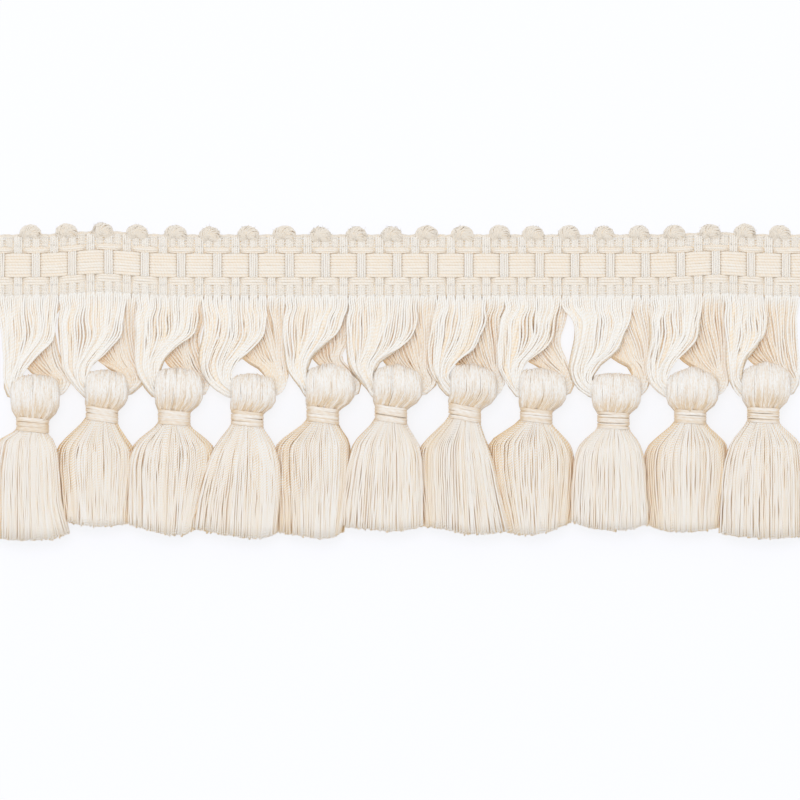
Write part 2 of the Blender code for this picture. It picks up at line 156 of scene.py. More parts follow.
# The skirts: the left and right sides at six heights, the hem's height at five places across, and whether the
# left and the right side lie over (1) or under (-1) the next skirt.
Skirt = namedtuple("Skirt", "left right hem left_over right_over")
SKIRT_HEIGHTS = (-42.0, -44.4, -48.0, -52.8, -57.7, -62.5)
SKIRT_DEPTHS = (3.15, 3.35, 3.35, 3.15, 2.95, 2.8)
SKIRTS = (
    Skirt((-7.4, -8.3, -9.0, -9.3, -9.4, -9.4), (5.0, 5.9, 6.4, 6.8, 7.2, 8.6),
          (-65.2, -65.9, -66.0, -65.7, -64.2), 1, 1),
    Skirt((-8.6, -10.2, -10.6, -10.2, -9.8, -9.4), (6.2, 7.8, 8.0, 7.4, 6.9, 6.5),
          (-61.4, -62.3, -62.7, -62.4, -61.9), -1, -1),
    Skirt((-8.1, -9.8, -10.9, -11.0, -11.0, -11.0), (8.2, 10.0, 9.9, 8.3, 6.8, 5.2),
          (-62.2, -63.7, -64.7, -64.8, -63.4), 1, -1),
    Skirt((-6.3, -7.9, -9.7, -11.2, -12.5, -13.2), (5.9, 7.0, 7.9, 8.2, 7.8, 7.3),
          (-63.1, -64.4, -65.4, -65.6, -64.4), 1, 1),
    Skirt((-9.8, -11.3, -11.5, -11.2, -11.0, -10.9), (6.1, 6.6, 6.7, 6.2, 5.4, 4.8),
          (-64.0, -64.9, -65.6, -65.3, -64.0), -1, -1),
    Skirt((-7.9, -9.0, -10.1, -10.9, -11.6, -12.1), (6.1, 7.0, 7.5, 7.6, 7.6, 7.7),
          (-62.6, -63.2, -63.9, -63.5, -62.6), 1, 1),
    Skirt((-9.3, -10.9, -11.2, -10.9, -10.5, -10.2), (5.1, 6.0, 7.2, 8.3, 9.6, 10.8),
          (-62.6, -63.2, -64.5, -64.5, -63.7), -1, 1),
    Skirt((-10.3, -11.2, -11.3, -10.4, -9.0, -7.6), (7.4, 8.8, 9.4, 9.2, 8.8, 8.2),
          (-64.0, -64.7, -64.5, -63.7, -61.6), -1, -1),
    Skirt((-6.8, -8.5, -9.4, -9.8, -10.0, -10.2), (5.8, 6.9, 7.6, 8.0, 8.4, 8.5),
          (-61.4, -63.1, -63.6, -63.3, -62.0), 1, 1),
    Skirt((-8.4, -10.3, -11.0, -10.8, -10.3, -9.9), (7.8, 8.9, 9.2, 8.7, 8.0, 7.5),
          (-62.5, -64.0, -64.0, -63.6, -62.8), -1, -1),
    Skirt((-6.9, -8.0, -9.0, -9.6, -9.8, -10.0), (8.4, 9.4, 9.9, 10.1, 10.2, 10.2),
          (-64.4, -65.2, -65.6, -65.4, -64.8), 1, 1),
)


def linear(code):
    """An sRGB hex value as linear red, green, blue and alpha."""
    parts = [int(code[place : place + 2], 16) / 255 for place in (1, 3, 5)]
    return [p / 12.92 if p <= 0.04045 else ((p + 0.055) / 1.055) ** 2.4 for p in parts] + [1.0]


def length(name, description, default, least, most):
    """A length that a user can change, given here in millimetres."""
    return bpy.props.FloatProperty(
        name=name, description=description, default=default * MM, min=least * MM, max=most * MM,
        precision=5, unit="LENGTH", subtype="DISTANCE",
    )


def colour(name, description, code):
    """A colour that a user can change, given here as an sRGB hex value."""
    return bpy.props.FloatVectorProperty(
        name=name, description=description, default=linear(code), size=4, min=0.0, max=1.0, subtype="COLOR"
    )


class TrimSizes(bpy.types.PropertyGroup):
    """The sizes of the yarns and threads."""

    weft_yarn: length("Weft Yarn", "Diameter of a weft yarn in the heading", 0.58, 0.1, 1.0)
    ribbon_yarn: length("Ribbon Yarn", "Diameter of a yarn in the woven ribbons", 0.84, 0.1, 1.0)
    binding_warp: length("Binding Warp", "Diameter of the thin warps in the lands", 0.3, 0.1, 0.6)
    loop_yarn: length("Loop Yarn", "Diameter of a yarn in the loops", 0.59, 0.2, 1.2)
    gimp_cord: length("Gimp Cord", "Diameter of the gimp cord in the picots", 2.3, 1.0, 4.0)
    skirt_thread: length("Skirt Thread", "Diameter of a twisted thread in the skirts", 0.52, 0.2, 1.0)
    floss: length("Floss", "Diameter of a strand of floss over the heads", 0.3, 0.1, 0.8)


class TrimColours(bpy.types.PropertyGroup):
    """The colours of the yarns and of the stage."""

    yarn: colour("Yarn", "Ivory of the heading and the loops", "#FAF8F4")
    # The shade colours below are mixed in by the tints: as tone that varies at random, and as painted shade
    # in ply valleys, on strand sides and where strands are tucked, sunk or hidden.
    yarn_shade: colour("Yarn Shade", "Warmer ivory in the twist of the heading and the gimp", "#F6DBB4")
    yarn_tone_and_crease_shade: colour("Yarn Crease", "Amber deep between the loops and the skirt threads", "#F8D59C")
    floss: colour("Floss", "Ivory of the heads, the skirts and the bindings", "#FDFBF8")
    floss_shade: colour("Floss Shade", "Warmer ivory of the bindings and the heads near them", "#E6CAA3")
    ribbon: colour("Ribbon", "Ivory of the woven ribbons and thin warps", "#F6F1E9")
    gimp: colour("Gimp", "Soft ecru of the gimp cord", "#F0E8DC")
    floor: colour("Floor", "Grey of the surface, which the glow lifts to white", "#8E878F")
    glow: colour("Glow", "White of the light that comes up through the floor", "#F6FCFF")


# ---------------------------------------------------------------------------- strands


def lift(x):
    """How far the heading rides up at x: it lies in two slight waves."""
    return sum(wave.rise * np.exp(-(((x - wave.x) / wave.reach) ** 2)) for wave in WAVES)


def ease(share):
    """A share from 0 to 1 that starts and stops gently."""
    share = np.clip(share, 0.0, 1.0)
    return share * share * (3.0 - 2.0 * share)


def through(rows, steps):
    """Smooth paths through rows of points, one path for each place in a row: strands by steps by three."""
    rows = np.asarray(rows, float)
    ends = np.concatenate([[2 * rows[0] - rows[1]], rows, [2 * rows[-1] - rows[-2]]])
    place = np.linspace(0.0, len(rows) - 1.0, steps)
    first = np.minimum(place.astype(int), len(rows) - 2)
    t = (place - first)[:, None, None]
    a, b, c, d = (ends[first + step] for step in range(4))
    curve = 0.5 * (2 * b + (c - a) * t + (2 * a - 5 * b + 4 * c - d) * t**2 + (3 * b - a - 3 * c + d) * t**3)
    return curve.transpose(1, 0, 2)


def wander(rng, count, steps, waves):
    """Smooth random strays along each strand, about 1 at most: strands by steps."""
    along = np.linspace(0.0, 1.0, steps)[None, :]
    stray = np.zeros((count, steps))
    for turn in range(1, 4):
        phase = rng.uniform(0.0, 2 * np.pi, (count, 1))
        pace = waves * turn * rng.uniform(0.7, 1.3, (count, 1))
        stray += rng.normal(0.0, 0.5 / turn, (count, 1)) * np.sin(2 * np.pi * pace * along + phase)
    return stray


# The limits of a random phase, in radians.
ANY_PHASE = (0.0, 6.28)


def unit(vectors):
    """The vectors at a length of 1."""
    return vectors / np.maximum(np.linalg.norm(vectors, axis=-1, keepdims=True), 1e-9)


# Each strand's UV map starts somewhere in the first few millimetres, so that neighbours don't look alike.
MOST_UV_START = 5.0
GOLDEN_SHARE = 0.618034


def strands(paths, radii, sides, tints, up=(0.0, 0.0, 1.0), squash=1.0):
    """Round strands that follow paths, as points, corner numbers, face sizes, UVs and tints. Radii are one
    number or one for each step, and tints are one for each strand or for each step. The UV map runs round a
    strand in U, once round in 1, and along it in V in millimetres, each strand from its own start."""
    count, steps = paths.shape[:2]
    radii = np.broadcast_to(radii, (count, steps))
    tints = np.broadcast_to(tints if np.ndim(tints) == 2 else tints[:, None], (count, steps))
    along = unit(np.gradient(paths, axis=1))
    across = unit(np.cross(along, np.broadcast_to(up, along.shape)))
    over = np.cross(across, along)
    angle = 2 * np.pi * np.arange(sides) / sides
    side, rise = np.cos(angle)[None, None, :, None], squash * np.sin(angle)[None, None, :, None]
    ring = side * across[:, :, None] + rise * over[:, :, None]
    points = paths[:, :, None] + ring * radii[:, :, None, None]
    run = np.concatenate([np.zeros((count, 1)), np.linalg.norm(np.diff(paths, axis=1), axis=2).cumsum(1)], 1)
    run = run + (MOST_UV_START * (GOLDEN_SHARE * np.arange(count) ** 2 % 1.0))[:, None]
    number = np.arange(count * steps * sides).reshape(count, steps, sides)
    turned = np.roll(number, -1, axis=2)
    walls = np.stack([number[:, :-1], turned[:, :-1], turned[:, 1:], number[:, 1:]], -1).reshape(-1, 4)
    u = np.broadcast_to(np.arange(sides) / sides, (count, steps - 1, sides))
    low = np.broadcast_to(run[:, :-1, None], u.shape)
    high = np.broadcast_to(run[:, 1:, None], u.shape)
    wall_uv = np.stack([u, low, u + 1 / sides, low, u + 1 / sides, high, u, high], -1).reshape(-1, 2)
    ends = np.concatenate([number[:, 0, ::-1], number[:, -1]])
    end_run = np.repeat(run[:, [0, -1]].T.reshape(-1), sides)
    end_uv = np.stack([np.tile(np.arange(sides) / sides, 2 * count), end_run], -1)
    return (
        points.reshape(-1, 3),
        np.concatenate([walls.reshape(-1), ends.reshape(-1)]),
        np.concatenate([np.full(len(walls), 4), np.full(2 * count, sides)]),
        np.concatenate([wall_uv, end_uv]),
        np.repeat(tints, sides),
    )


def joined(name, parts, material):
    """One piece from several parts of strands, scaled to metres, riding on the trim."""
    mesh = bpy.data.meshes.new(name)
    shift = np.cumsum([0] + [len(part[0]) for part in parts])
    points = np.concatenate([part[0] for part in parts]) * MM
    corners = np.concatenate([part[1] + start for part, start in zip(parts, shift)])
    sizes = np.concatenate([part[2] for part in parts])
    mesh.vertices.add(len(points))
    mesh.loops.add(len(corners))
    mesh.polygons.add(len(sizes))
    mesh.vertices.foreach_set("co", points.astype(np.float32).reshape(-1))
    mesh.loops.foreach_set("vertex_index", corners.astype(np.int32))
    mesh.polygons.foreach_set("loop_start", (np.cumsum(sizes) - sizes).astype(np.int32))
    mesh.update(calc_edges=True)
    mesh.uv_layers.new(name="strand_uv").data.foreach_set(
        "uv", np.concatenate([part[3] for part in parts]).astype(np.float32).reshape(-1)
    )
    # Each point's tint: the strand's own tone, varied at random, and painted shade where it is tucked or
    # hidden.
    tone_and_shade = mesh.attributes.new("tone_and_shade", "FLOAT", "POINT")
    tone_and_shade.data.foreach_set("value", np.concatenate([part[4] for part in parts]).astype(np.float32))
    mesh.shade_smooth()
    mesh.materials.append(material)
    piece = bpy.data.objects.new(name, mesh)
    bpy.context.scene.collection.objects.link(piece)
    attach(piece, "root")
    return piece


def from_bmesh(name, bm, material):
    """One piece from a bmesh in millimetres, scaled to metres, with its normals outwards."""
    bmesh.ops.recalc_face_normals(bm, faces=bm.faces)
    bmesh.ops.scale(bm, vec=(MM, MM, MM), verts=bm.verts)
    mesh = bpy.data.meshes.new(name)
    bm.to_mesh(mesh)
    bm.free()
    mesh.shade_smooth()
    mesh.materials.append(material)
    piece = bpy.data.objects.new(name, mesh)
    bpy.context.scene.collection.objects.link(piece)
    return piece


def core_part(place, rings, sides, tone_and_shade):
    """A closed body from a sphere whose points are put in place, as a part that joins with strands. Place
    gives a point for a share from one pole to the other and an angle round it."""
    bm = bmesh.new()
    bmesh.ops.create_uvsphere(bm, u_segments=sides, v_segments=rings, radius=1.0)
    for vert in bm.verts:
        share = math.acos(max(-1.0, min(1.0, vert.co.z))) / math.pi
        vert.co = place(share, math.atan2(vert.co.y, vert.co.x))
    bmesh.ops.recalc_face_normals(bm, faces=bm.faces)
    points = np.array([vert.co for vert in bm.verts])
    corners = np.array([vert.index for face in bm.faces for vert in face.verts])
    sizes = np.array([len(face.verts) for face in bm.faces])
    uvs = points[corners][:, :2] * (0.3, 1.0)
    bm.free()
    return points, corners, sizes, uvs, np.full(len(points), tone_and_shade)


# -------------------------------------------------------------------------- materials


def add_node(tree, kind, values=(), links=(), **settings):
    """Adds one node with its settings, the values of its inputs and the outputs linked to its inputs."""
    node = tree.nodes.new(kind)
    for name, value in settings.items():
        setattr(node, name, value)
    for socket, value in dict(values).items():
        node.inputs[socket].default_value = value
    for socket, output in dict(links).items():
        tree.links.new(output, node.inputs[socket])
    return node


def maths(tree, operation, *terms, clamped=False):
    """The result of a Math node, from terms that are numbers or results of other nodes."""
    node = add_node(tree, "ShaderNodeMath", operation=operation, use_clamp=clamped)
    for socket, term in zip(node.inputs, terms):
        if isinstance(term, bpy.types.NodeSocket):
            tree.links.new(term, socket)
        else:
            socket.default_value = term
    return node.outputs["Value"]


def empty_material(name):
    """A new material without nodes, and its node tree."""
    material = bpy.data.materials.new(name)
    material.use_nodes = True
    material.node_tree.nodes.clear()
    return material, material.node_tree


def add_surface(tree, values, links):
    """The Principled BSDF that a material shows."""
    shader = add_node(tree, "ShaderNodeBsdfPrincipled", values, links)
    add_node(tree, "ShaderNodeOutputMaterial", {}, {"Surface": shader.outputs["BSDF"]})


# How a yarn is spun and how it shines: its plies and the millimetres in which they turn once round it, the
# depth of the valleys between them and the painted shade there, the shade that its loose fibres add, its
# gloss, how fine its fibres are round it and along it, and the painted shade that is added on a strand's
# sides.
Spin = namedtuple("Spin", "plies twist depth contrast speck roughness sheen grain flank", defaults=(0.0,))


def yarn_material(name, light, shade, spin):
    """A strand material that follows the strand's own UV map. The tint of each point is the strand's own
    tone, varied at random, and painted shade where a strand is tucked behind others. The painted shade on its
    sides stands in for the shade between strands and for light that has passed through it."""
    material, tree = empty_material(name)
    uv = add_node(tree, "ShaderNodeUVMap", uv_map="strand_uv").outputs["UV"]
    pace = 2 * math.pi * spin.plies
    turns = add_node(
        tree, "ShaderNodeVectorMath", {1: (pace, pace / spin.twist, 0.0)}, {0: uv}, operation="DOT_PRODUCT"
    )
    ply = maths(tree, "SINE", turns.outputs["Value"])
    around = add_node(tree, "ShaderNodeMapping", {"Scale": (*spin.grain, 1.0)}, {"Vector": uv})
    noise = add_node(
        tree, "ShaderNodeTexNoise", {"Scale": 1.0, "Detail": 2.0, "Roughness": 0.7},
        {"Vector": around.outputs["Vector"]},
    )
    fibre = noise.outputs["Fac"]
    height = maths(tree, "MULTIPLY_ADD", fibre, 0.6, ply)
    bump = add_node(
        tree, "ShaderNodeBump", {"Strength": 1.0, "Distance": spin.depth * MM}, {"Height": height}
    )
    tone_and_shade = add_node(tree, "ShaderNodeAttribute", attribute_name="tone_and_shade").outputs["Fac"]
    normal = add_node(tree, "ShaderNodeNewGeometry").outputs["Normal"]
    facing = add_node(tree, "ShaderNodeSeparateXYZ", {}, {0: normal})
    # Painted shade on the strand's sides: the further its normal tilts from straight up, the darker.
    side = maths(tree, "POWER", maths(tree, "SUBTRACT", 1.0, facing.outputs["Z"]), 2.0)
    tucked = maths(tree, "MULTIPLY_ADD", side, spin.flank, tone_and_shade)
    speckle = maths(tree, "MULTIPLY_ADD", maths(tree, "SUBTRACT", fibre, 0.45), spin.speck, tucked)
    # Painted shade in the valleys between the plies, where the ply's sine is low.
    valley = maths(tree, "MULTIPLY_ADD", ply, -spin.contrast, speckle, clamped=True)
    colour = add_node(tree, "ShaderNodeMix", {"A": light, "B": shade}, {0: valley}, data_type="RGBA")
    add_surface(
        tree,
        {
            "Roughness": spin.roughness, "IOR": 1.5, "Sheen Weight": spin.sheen, "Sheen Roughness": 0.4,
            "Specular IOR Level": 0.5,
        },
        {"Base Color": colour.outputs["Result"], "Normal": bump.outputs["Normal"]},
    )
    return material


def ground_material(colours):
    """Plain-woven cotton ground: a small check of threads a third of a millimetre apart, half in the shade
    colour: painted shade for the gaps between the bars, where it shows.
    """
    material, tree = empty_material("plain_woven_ground")
    place = add_node(tree, "ShaderNodeTexCoord")
    check = add_node(
        tree, "ShaderNodeTexChecker", {"Scale": 3000.0, "Color1": colours.yarn, "Color2": colours.yarn_shade},
        {"Vector": place.outputs["Object"]},
    )
    bump = add_node(
        tree, "ShaderNodeBump", {"Strength": 0.6, "Distance": 0.05 * MM}, {"Height": check.outputs["Fac"]}
    )
    links = {"Base Color": check.outputs["Color"], "Normal": bump.outputs["Normal"]}
    add_surface(tree, {"Roughness": 0.8}, links)
    return material


def board_material(colours):
    """Opal board lit faintly from below: even, matt, with a grain too fine to catch the light."""
    material, tree = empty_material("opal_board")
    place = add_node(tree, "ShaderNodeTexCoord")
    grain = add_node(
        tree, "ShaderNodeTexNoise", {"Scale": 900.0, "Detail": 2.0}, {"Vector": place.outputs["Object"]}
    )
    bump = add_node(
        tree, "ShaderNodeBump", {"Strength": 0.1, "Distance": 0.02 * MM}, {"Height": grain.outputs["Fac"]}
    )
    add_surface(
        tree,
        {
            "Base Color": colours.floor, "Roughness": 0.9, "Specular IOR Level": 0.2,
            "Emission Color": colours.glow, "Emission Strength": 0.763,
        },
        {"Normal": bump.outputs["Normal"]},
    )
    return material


# ---------------------------------------------------------------------------- heading


def bar_middle(bar):
    """The middle of one bar of weft: the bars drift a little along the trim."""
    drift = np.sin(np.pi * np.clip((np.asarray(bar) / 4 - 1) / 21, 0.0, 1.0))
    return FIRST_BAR + BAR_PITCH * np.asarray(bar) + BAR_DRIFT * drift


def weft_roots():
    """Where each weft yarn crosses the heading's lower edge, with its bar."""
    bars = np.repeat(np.arange(BAR_COUNT), YARNS_PER_BAR)
    places = np.tile(np.arange(YARNS_PER_BAR) - (YARNS_PER_BAR - 1) / 2, BAR_COUNT)
    return bar_middle(bars) + places * WEFT_PITCH, bars


def weave_weft(sizes, rng):
    """The weft yarns of the heading, a few side by side to a bar, over or under each ribbon and thin warp."""
    x, bars = weft_roots()
    place = x - bar_middle(bars)
    heights = np.array([
        HEADING_FOOT, *LOWER_WARPS[::-1], -4.68, -4.42, -3.95, -3.3, -2.92, -2.6, -2.2, -1.2,
        0.1, 1.4, 2.4, 2.8, 3.12, 3.5, 4.05, 4.42, 4.62, *UPPER_WARPS, 7.16,
    ])
    narrow = ((heights > -4.5) & (heights < -2.9)) | ((heights > 3.0) & (heights < 4.5))
    wide = (heights > -2.7) & (heights < 2.9)
    land = ~(narrow | wide)
    over_narrow, over_wide = (bars % 4 == 2)[:, None], (bars % 4 == 0)[:, None]
    z = np.where(land, LAND_HEIGHT + 0.2, UNDER_HEIGHT)[None, :] * np.ones((len(x), 1))
    z += np.where(narrow[None, :] & over_narrow, NARROW_HEIGHT - UNDER_HEIGHT, 0.0)
    z += np.where(wide[None, :] & over_wide, WIDE_HEIGHT - 0.12 - UNDER_HEIGHT, 0.0)
    warp = np.zeros(len(heights))
    for rows in (UPPER_WARPS, LOWER_WARPS):
        for row, y in enumerate(rows):
            warp[np.isclose(heights, y)] = 1.0 if row % 2 else -1.0
    turned = np.where(bars % 2, 1.0, -1.0)[:, None]
    z += np.where(over_narrow, 0.16 * np.abs(warp)[None, :], 0.13 * turned * warp)
    z[:, 0] = z[:, -1] = 0.8
    odd = (bars % 2 == 1)[:, None]
    spread = np.where(over_narrow & ~wide[None, :], 1.05, np.where(land[None, :], 0.88, 0.92))
    spread = np.where(wide[None, :] & over_wide, 1.1, spread)
    crown = 0.14 - 0.35 * place[:, None] ** 2 - 0.1 * odd
    paths = np.stack([
        bar_middle(bars)[:, None] + place[:, None] * spread,
        heights[None, :] + lift(x)[:, None],
        np.maximum(z + crown + rng.normal(0.0, 0.03, (len(x), 1)), 0.3),
    ], -1)
    paths[..., 0] += 0.04 * wander(rng, len(x), len(heights), 2)
    # Painted shade: yarns that pass under the ribbons and warps, seen only in the gaps, take half the shade
    # colour; the rest varies at random and from bar to bar.
    tints = rng.uniform(0.02, 0.18, (len(x), 1)) + np.where(odd, 0.05, 0.0) + np.where(z < 0.9, 0.5, 0.0)
    return strands(paths, sizes.weft_yarn / MM / 2, 4, tints)


def dips(x, phase, slope):
    """How far a ribbon is down at x, from 0 on its floats to 1 under the bars of this phase."""
    bars = np.arange(phase, BAR_COUNT, 4)
    nearest = np.abs(x[:, None] - bar_middle(bars)[None, :]).min(1)
    return 1.0 - ease((nearest - 0.5) / slope)


def weave_ribbons(sizes, rng):
    """The wide ribbon and the two narrow ones, each of parallel yarns that float over three bars."""
    x = np.arange(-TRIM_HALF_LENGTH, TRIM_HALF_LENGTH, 0.5)
    parts = []
    for (low, high, count), phase, height, slope, drawn, slim in (
        (WIDE_RIBBON, 0, WIDE_HEIGHT, 1.6, 0.06, 1.0),
        (NARROW_RIBBONS[0], 2, NARROW_HEIGHT, 2.1, 0.3, 0.7),
        (NARROW_RIBBONS[1], 2, NARROW_HEIGHT, 2.1, 0.3, 0.9),
    ):
        down = dips(x, phase, slope)
        y = np.linspace(low, high, count)[:, None]
        middle = (low + high) / 2
        paths = np.stack([
            np.broadcast_to(x, (count, len(x))),
            middle + (y - middle) * (1.0 - drawn * down) + lift(x),
            height - (height - 0.62) * down + 0.0 * y,
        ], -1)
        edge = np.abs(np.linspace(-1.0, 1.0, count))[:, None] ** 3
        paths[..., 2] -= (0.16 if phase == 0 else 0.3) * edge * (1.0 - down)
        paths[..., 1] += 0.04 * wander(rng, count, len(x), 18)
        paths[..., 2] += 0.05 * wander(rng, count, len(x), 22)
        # Painted shade where the ribbon dips under the bars, on top of tone that varies at random.
        tints = rng.uniform(0.1, 0.32, (count, 1)) + 0.14 * ease((down - 0.15) / 0.6)[None, :]
        parts.append(strands(paths, slim * sizes.ribbon_yarn / MM / 2, 6, tints))
    return parts


def weave_warps(sizes, rng):
    """The thin warps of the two lands, over one bar and under the next."""
    x = np.arange(-TRIM_HALF_LENGTH, TRIM_HALF_LENGTH, 0.43)
    bar = np.interp(x, bar_middle(np.arange(-1, BAR_COUNT + 1)), np.arange(-1, BAR_COUNT + 1))
    rows = UPPER_WARPS + LOWER_WARPS
    paths = []
    for row, y in enumerate(rows):
        side = -1.0 if row % 2 else 1.0
        wave = 0.17 * side * np.cos(np.pi * bar) + 0.12 * np.cos(2 * np.pi * bar)
        under = 1.0 - ease((np.abs((bar % 4) - 2.0) - 0.3) / 0.5)
        z = LAND_HEIGHT + 0.3 + wave * (1 - under) - 0.75 * under
        paths.append(np.stack([x, y + lift(x), z], -1))
    paths = np.array(paths)
    paths[..., 1] += 0.04 * wander(rng, len(rows), len(x), 20)
    return strands(paths, sizes.binding_warp / MM / 2, 4, rng.uniform(0.02, 0.14, len(rows)))


class TRIM_OT_weave_heading(bpy.types.Operator):
    """Weave the heading from its ground, its weft bars, its ribbons and its thin warps"""

    bl_idname = "trim.weave_heading"
    bl_label = "Weave Heading"

    def execute(self, context):
        sizes, colours = context.scene.trim_sizes, context.scene.trim_colours
        rng = np.random.default_rng(11)
        # Twisted rayon and cotton yarn: soft, with a fine diagonal ply and hardly any gloss.
        yarn = yarn_material("twisted_yarn", colours.ribbon, colours.yarn_shade, Spin(
            plies=2, twist=1.4, depth=0.015, contrast=0.15, speck=0.7, roughness=0.6, sheen=0.1,
            grain=(2.0, 1.0),
        ))
        # The weft's yarn is firmer: its plies show as small beads, from a slight bump and from painted shade
        # in the valleys between them.
        beaded = yarn_material("beaded_yarn", colours.yarn, colours.yarn_shade, Spin(
            plies=2, twist=1.1, depth=0.015, contrast=0.35, speck=0.9, roughness=0.5, sheen=0.1,
            grain=(3.0, 1.4),
        ))
        weft = joined("heading_weft", [weave_weft(sizes, rng)], beaded)
        ribbons = joined("heading_ribbons", weave_ribbons(sizes, rng) + [weave_warps(sizes, rng)], yarn)
        ground = self.lay_ground(colours)
        for piece in (weft, ribbons, ground):
            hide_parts("heading")
        return {"FINISHED"}

    def lay_ground(self, colours):
        """The closely woven ground that the bars and ribbons lie on and pass through."""
        bm = bmesh.new()
        bmesh.ops.create_grid(bm, x_segments=120, y_segments=8, size=0.5)
        for vert in bm.verts:
            x = vert.co.x * 2 * GROUND_HALF_LENGTH
            land = float(np.interp(abs(vert.co.y), (0.25, 0.375, 0.5), (0.0, 0.1, 0.06)))
            vert.co = (x, -0.5 + vert.co.y * GROUND_WIDTH + lift(x), 1.05 + land)
        bmesh.ops.solidify(bm, geom=bm.faces[:] + bm.edges[:] + bm.verts[:], thickness=0.15)
        ground = from_bmesh("heading_ground", bm, ground_material(colours))
        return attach(ground, "root")


# ------------------------------------------------------------------------- gimp edge

# One picot of the gimp cord, from its left foot over its top to its right foot, and how the cord's girth
# grows and shrinks along it.
PICOT_ARCH = (
    (-1.25, 5.9, 0.55), (-1.35, 6.6, 0.9), (-1.2, 7.4, 1.2), (-0.7, 7.95, 1.36), (0.05, 8.14, 1.42),
    (0.8, 7.92, 1.4), (1.3, 7.3, 1.25), (1.45, 6.5, 1.0), (1.3, 5.8, 0.65),
)
PICOT_STEPS = 19
PICOT_GIRTH = ((0.0, 0.14, 0.3, 0.7, 0.86, 1.0), (0.4, 0.75, 1.0, 1.0, 0.75, 0.4))
FIBRES_PER_PICOT = 30


def roving(paths, radii, wide, lines, turns, thread, rng):
    """Soft cords along paths, wide across and flatter over, each of fine lines twisted round a core."""
    cords, steps = paths.shape[:2]
    along = unit(np.gradient(paths, axis=1))
    across = unit(np.cross(along, np.broadcast_to((0.0, 0.0, 1.0), along.shape)))
    over = np.cross(across, along)
    angle = 2 * np.pi * (np.arange(lines) / lines)[None, :, None] + rng.uniform(*ANY_PHASE, (cords, 1, 1))
    angle = angle + 2 * np.pi * turns * np.linspace(0.0, 1.0, steps)[None, None, :]
    angle = angle + 0.25 * wander(rng, cords * lines, steps, 1.5).reshape(cords, lines, steps)
    reach = (radii[None, None, :] - thread) * rng.normal(1.0, 0.04, (cords, lines, 1))
    side, rise = (wide * reach * np.cos(angle))[..., None], (reach * np.sin(angle))[..., None]
    around = side * across[:, None] + rise * over[:, None]
    fine = (paths[:, None] + around).reshape(cords * lines, steps, 3)
    # The core, seen between the fine lines, is painted half way to the shade colour.
    core = strands(paths, np.broadcast_to(radii - 0.7 * thread, (cords, steps)), 8, np.full(cords, 0.5))
    return [core, strands(fine, thread, 4, rng.uniform(0.0, 0.2, cords * lines))]


class TRIM_OT_lay_gimp_edge(bpy.types.Operator):
    """Lay the scalloped gimp cord along the heading's upper edge"""

    bl_idname = "trim.lay_gimp_edge"
    bl_label = "Lay Gimp Edge"

    def execute(self, context):
        sizes, colours = context.scene.trim_sizes, context.scene.trim_colours
        rng = np.random.default_rng(23)
        middles = bar_middle(np.arange(0, BAR_COUNT + 1, 4)) - 1.5
        middles = middles[middles > -TRIM_HALF_LENGTH - 0.2]
        middles = middles + rng.normal(0.0, 0.2, len(middles))
        radius = sizes.gimp_cord / MM / 2
        spread = rng.normal(1.0, 0.07, len(middles))
        rows = np.repeat(np.array(PICOT_ARCH)[:, None, :], len(middles), axis=1)
        rows[..., 0] = rows[..., 0] * spread + middles
        rows[..., 1] += lift(middles) + rng.normal(0.0, 0.16, len(middles)) * (rows[..., 1] > 6)
        girth = np.interp(np.linspace(0.0, 1.0, PICOT_STEPS), *PICOT_GIRTH)
        arches = through(rows, PICOT_STEPS)
        picots = roving(arches, radius * 1.08 * girth, wide=1.4, lines=16, turns=1.3, thread=0.23, rng=rng)
        x = np.arange(-TRIM_HALF_LENGTH, TRIM_HALF_LENGTH, 0.75)
        run = np.stack([x, 7.12 + lift(x) + 0.1 * np.sin(x * 2.1), np.full(len(x), 0.85)], -1)[None]
        turns = 2 * TRIM_HALF_LENGTH / 7.0
        foot = roving(run, np.full(len(x), 0.52), wide=1.0, lines=7, turns=turns, thread=0.18, rng=rng)
        # Soft cotton gimp: a loosely twisted roving, matt and a little fuzzy.
        gimp = yarn_material("soft_gimp", colours.gimp, colours.yarn_shade, Spin(
            plies=2, twist=2.4, depth=0.02, contrast=0.1, speck=0.6, roughness=0.75, sheen=0.2,
            grain=(9.0, 2.0),
        ))
        piece = joined("gimp_edge", picots + foot + [self.loose_fibres(middles, radius, rng)], gimp)
        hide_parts("picot_edge")
        return {"FINISHED"}

    def loose_fibres(self, middles, radius, rng):
        """Short fibres that stand a little off each picot."""
        count = FIBRES_PER_PICOT * len(middles)
        middle = np.repeat(middles, FIBRES_PER_PICOT)
        turn = rng.uniform(-0.1, np.pi + 0.1, count)
        rise = rng.uniform(0.1, 1.3, count)
        reach = 1.3 + 1.25 * radius * np.cos(rise)
        start = np.stack([
            middle + np.cos(turn) * reach,
            6.95 + lift(middle) + np.sin(turn) * reach,
            1.3 + radius * np.sin(rise),
        ], -1)
        heading = rng.normal(0.0, 1.0, (count, 3)) * (0.5, 0.5, 0.2)
        bend = rng.normal(0.0, 0.25, (count, 3)) * (1.0, 1.0, 0.3)
        share = np.linspace(-0.5, 0.5, 5)[None, :, None]
        paths = start[:, None] + heading[:, None] * share + bend[:, None] * (0.25 - share**2)
        return strands(paths, 0.05, 3, rng.uniform(0.0, 0.3, count))


# ------------------------------------------------------------------------------ loops


def between(outer, inner, share):
    """Points that lie at these shares of the way from an outer to an inner point."""
    return np.asarray(outer)[None, :] * (1 - share)[:, None] + np.asarray(inner)[None, :] * share[:, None]


def gathered(share, clumps, pull, phase):
    """Shares across a layer, drawn together into clumps."""
    return share - pull * np.sin(2 * np.pi * (clumps * share + phase)) / (2 * np.pi * clumps)


def into_head(tassel, ends, share, level):
    """The last two rows of a group, inside its tassel's head, each between two points."""
    rows = []
    for first, last in ends:
        row = between(first, last, share)
        row[:, 0] += tassel.middle
        row[:, 2] += 0.4 * level
        rows.append(row)
    return rows


